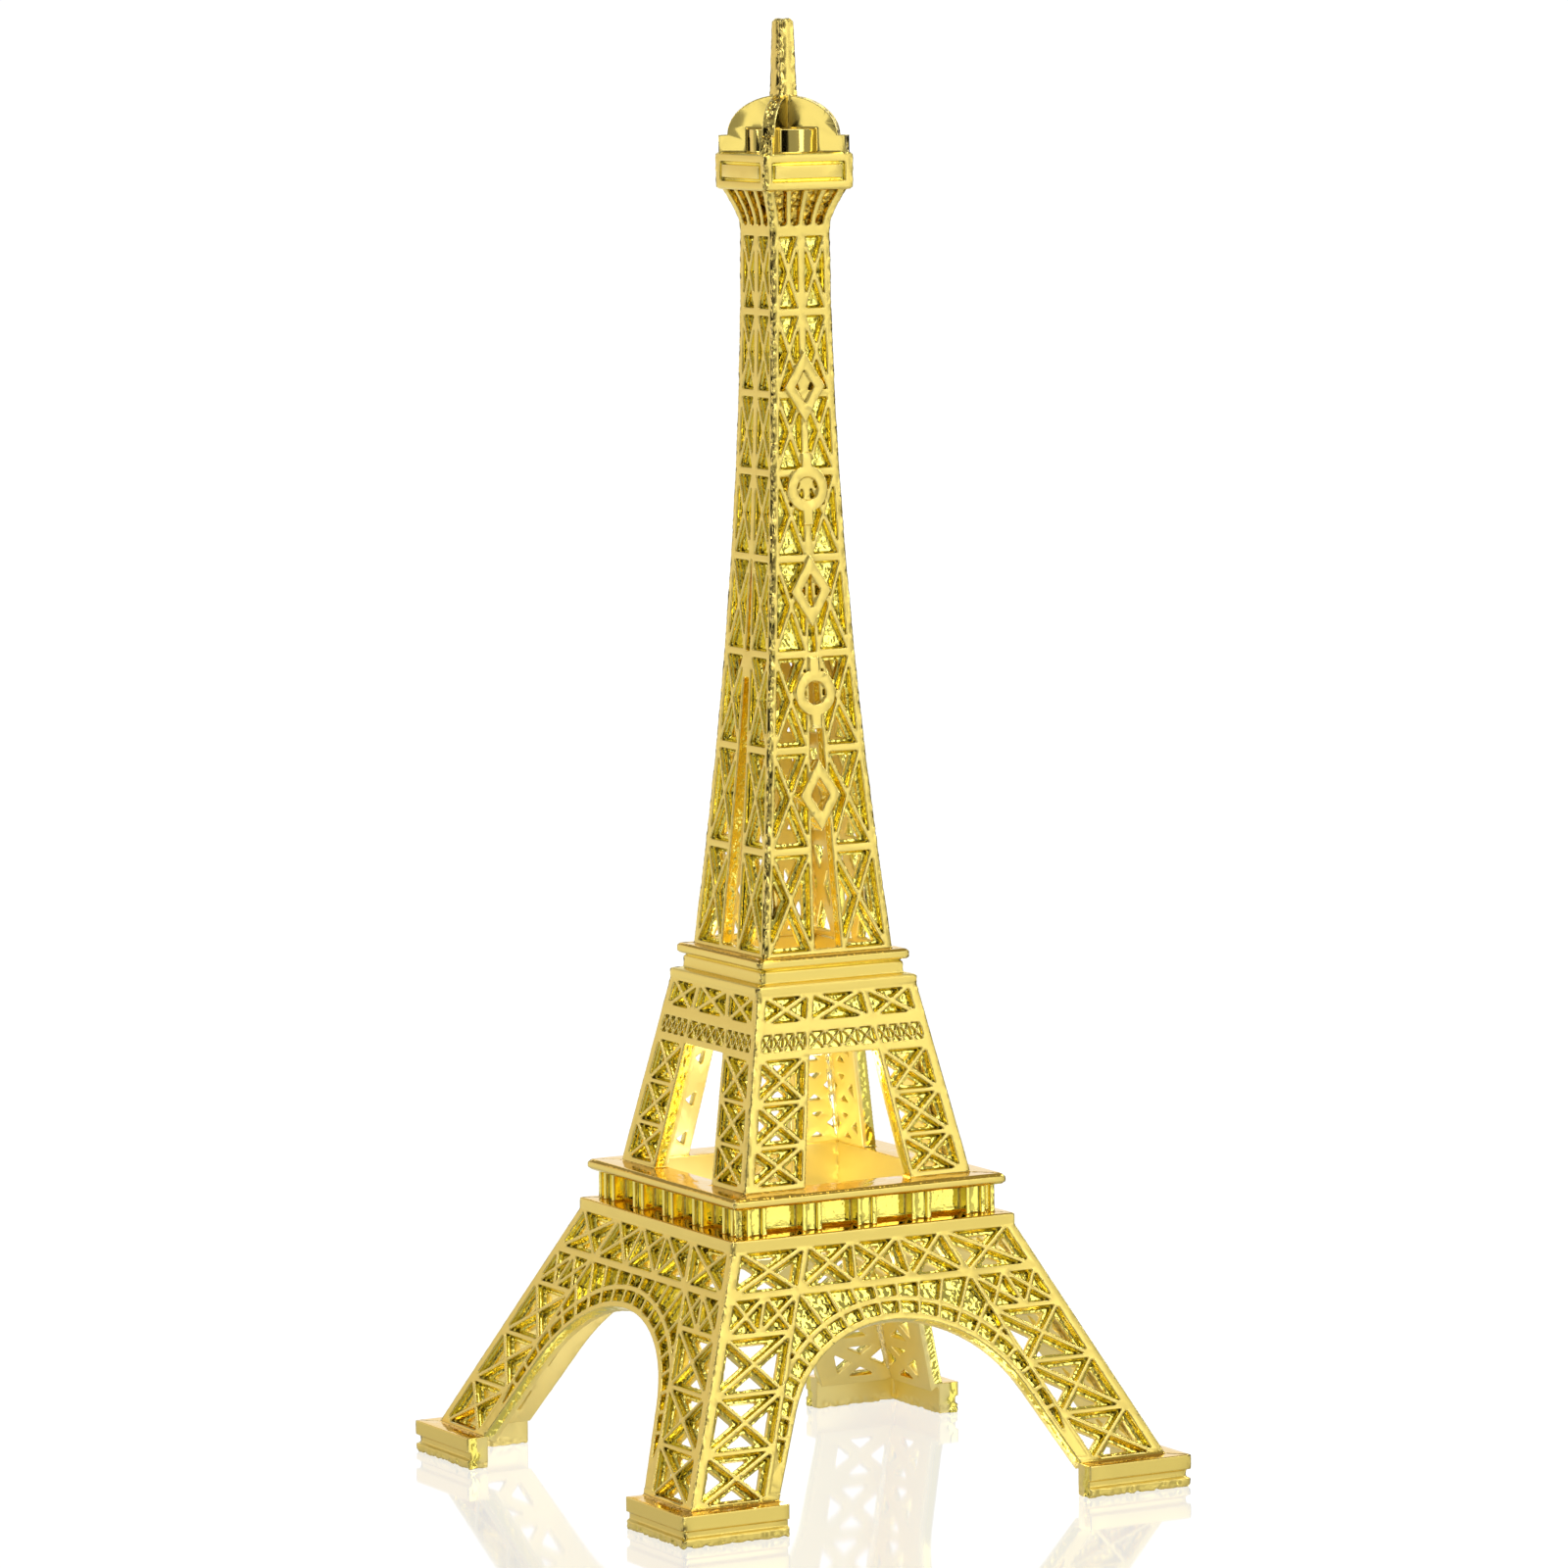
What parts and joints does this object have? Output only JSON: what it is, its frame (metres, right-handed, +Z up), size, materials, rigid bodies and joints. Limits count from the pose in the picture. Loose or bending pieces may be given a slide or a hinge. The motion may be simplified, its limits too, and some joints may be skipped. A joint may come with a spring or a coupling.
{
  "type": "miniature tower souvenir",
  "caption": "Free-standing souvenir model of a tapering iron lattice tower on arched legs, made of mitred cast panels soldered inside and plated in gold.",
  "frame": {"origin": "on the ground, at the middle of the square footprint", "axes": "+Z up to the tip of the spire, -Y out of the front panel, which is one of the two with raised ornaments, +X to its right"},
  "size_m": [0.071, 0.071, 0.18],
  "materials": {
    "gold_plate": "bright gold plating over cast zinc, glossy on the flats, finely pitted in the hollows",
    "plated_solder": "the same plating over soft solder, slightly lumpy"
  },
  "bodies": {
    "root": {"panel_front": "gold_plate", "panel_right": "gold_plate", "panel_back": "gold_plate", "panel_left": "gold_plate", "solder_leg_front_left": "plated_solder", "solder_leg_front_right": "plated_solder", "solder_leg_back_right": "plated_solder", "solder_leg_back_left": "plated_solder", "solder_waist_front_left": "plated_solder", "solder_waist_front_right": "plated_solder", "solder_waist_back_right": "plated_solder", "solder_waist_back_left": "plated_solder", "solder_shaft_front_left": "plated_solder", "solder_shaft_front_right": "plated_solder", "solder_shaft_back_right": "plated_solder", "solder_shaft_back_left": "plated_solder"}
  },
  "joints": []
}
